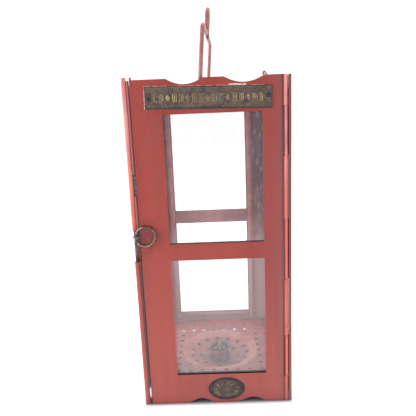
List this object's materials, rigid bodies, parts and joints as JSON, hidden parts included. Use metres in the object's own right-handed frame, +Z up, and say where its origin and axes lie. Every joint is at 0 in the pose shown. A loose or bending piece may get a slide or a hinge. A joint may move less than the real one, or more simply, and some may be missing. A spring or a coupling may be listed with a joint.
{
  "type": "folding candle lantern",
  "caption": "Square folding sheet-metal candle lantern with glazed hinged walls, a front door, a perforated floor with a candle socket, and a wire bail.",
  "frame": {"origin": "middle of the bounding box's base, between the walls at table level", "axes": "+Z up along the bail, -Y out of the door, +X to the right when the door is faced"},
  "size_m": [0.162, 0.1638, 0.4237],
  "materials": {
    "red_paint": "old coral red paint, satin, chipped at edges",
    "inner_paint": "faded red paint, matt and sooty",
    "glass": "clear, slightly hazy",
    "aged_brass": "tarnished dark with worn bright spots",
    "dark_steel": "dark, bare and slightly worn"
  },
  "bodies": {
    "back_frame": {"back_wall": "red_paint", "back_pane": "glass", "back_channel_left": "inner_paint", "back_channel_right": "inner_paint", "back_channel_bottom": "inner_paint", "rear_left_hinge_pin": "dark_steel", "rear_right_hinge_pin": "red_paint", "floor_hinge_bracket_left": "inner_paint", "floor_hinge_bracket_right": "inner_paint", "floor_hinge_rod": "dark_steel", "roof_hinge_bracket_left": "inner_paint", "roof_hinge_bracket_right": "inner_paint", "roof_hinge_rod": "dark_steel"},
    "left_wall": {"left_wall": "red_paint", "left_pane": "glass", "left_channel_front": "inner_paint", "left_channel_rear": "inner_paint", "left_channel_bottom": "inner_paint", "jamb_rod": "dark_steel", "jamb_strip": "red_paint", "left_floor_ledge": "inner_paint", "left_roof_ledge": "inner_paint"},
    "right_wall": {"right_wall": "red_paint", "right_pane": "glass", "right_channel_front": "inner_paint", "right_channel_rear": "inner_paint", "right_channel_bottom": "inner_paint", "right_floor_ledge": "inner_paint", "right_roof_ledge": "inner_paint", "door_hinge_pin": "dark_steel"},
    "door": {"door_panel": "red_paint", "door_pane": "glass", "door_channel_left": "inner_paint", "door_channel_right": "inner_paint", "door_channel_bottom": "inner_paint", "name_plate": "aged_brass", "name_plate_rivet_left": "dark_steel", "name_plate_rivet_right": "dark_steel", "oval_badge": "aged_brass", "door_catch_upper": "dark_steel", "door_catch_lower": "dark_steel"},
    "pull_ring": {"pull_ring": "dark_steel"},
    "floor": {"floor_tray": "inner_paint", "candle_socket": "inner_paint", "socket_rivet": "dark_steel"},
    "roof": {"roof_plate": "red_paint", "bail_lug_front": "red_paint", "bail_lug_rear": "red_paint"},
    "bail": {"bail": "red_paint"}
  },
  "joints": [
    {"name": "left_wall_swing", "type": "hinge", "parent": "back_frame", "child": "left_wall", "pos_m": [-0.0788, 0.07973, 0], "axis": [0, 0, -1], "range_deg": [0, 90]},
    {"name": "right_wall_swing", "type": "hinge", "parent": "back_frame", "child": "right_wall", "pos_m": [0.0788, 0.07973, 0], "axis": [0, 0, 1], "range_deg": [0, 90]},
    {"name": "door_swing", "type": "hinge", "parent": "right_wall", "child": "door", "pos_m": [0.0751, -0.07587, 0], "axis": [0, 0, 1], "range_deg": [0, 110]},
    {"name": "ring_swing", "type": "hinge", "parent": "door", "child": "pull_ring", "pos_m": [-0.07805, -0.07958, 0.1933], "axis": [0, 0, -1], "range_deg": [0, 150]},
    {"name": "floor_fold", "type": "hinge", "parent": "back_frame", "child": "floor", "pos_m": [0, 0.07643, 0.0207], "axis": [-1, 0, 0], "range_deg": [0, 80]},
    {"name": "roof_lift", "type": "hinge", "parent": "back_frame", "child": "roof", "pos_m": [0, 0.07643, 0.3363], "axis": [-1, 0, 0], "range_deg": [0, 75]},
    {"name": "bail_swing", "type": "hinge", "parent": "roof", "child": "bail", "pos_m": [-0.0059, -0.07007, 0.34], "axis": [0.0475, 0.9989, 0], "range_deg": [-83, 74]}
  ]
}
